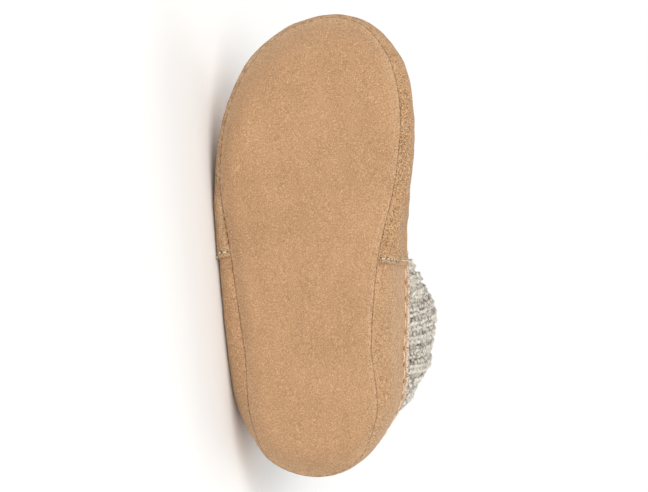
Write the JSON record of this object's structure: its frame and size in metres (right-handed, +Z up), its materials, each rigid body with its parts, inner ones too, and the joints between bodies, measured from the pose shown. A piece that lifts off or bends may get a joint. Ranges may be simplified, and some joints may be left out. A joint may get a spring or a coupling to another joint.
{
  "type": "wool slipper",
  "caption": "Small child's soft slipper: suede sole and upper of vamp and heel piece, felt footbed and a ribbed wool collar, lying on its outer side.",
  "frame": {"origin": "middle of the bounding box's underside, on the floor that the slipper lies on", "axes": "+Z up; X along the slipper with the toe towards -X; the sole faces -Y; the inner side of the foot is on top"},
  "size_m": [0.1496, 0.0756, 0.0674],
  "materials": {
    "sole_suede": "napped suede, matte",
    "upper_suede": "napped suede, matte",
    "footbed_felt": "wool felt",
    "collar_wool": "marled wool, one by one rib"
  },
  "bodies": {
    "root": {"sole": "sole_suede", "footbed": "footbed_felt", "upper": "upper_suede", "collar": "collar_wool"}
  },
  "joints": []
}
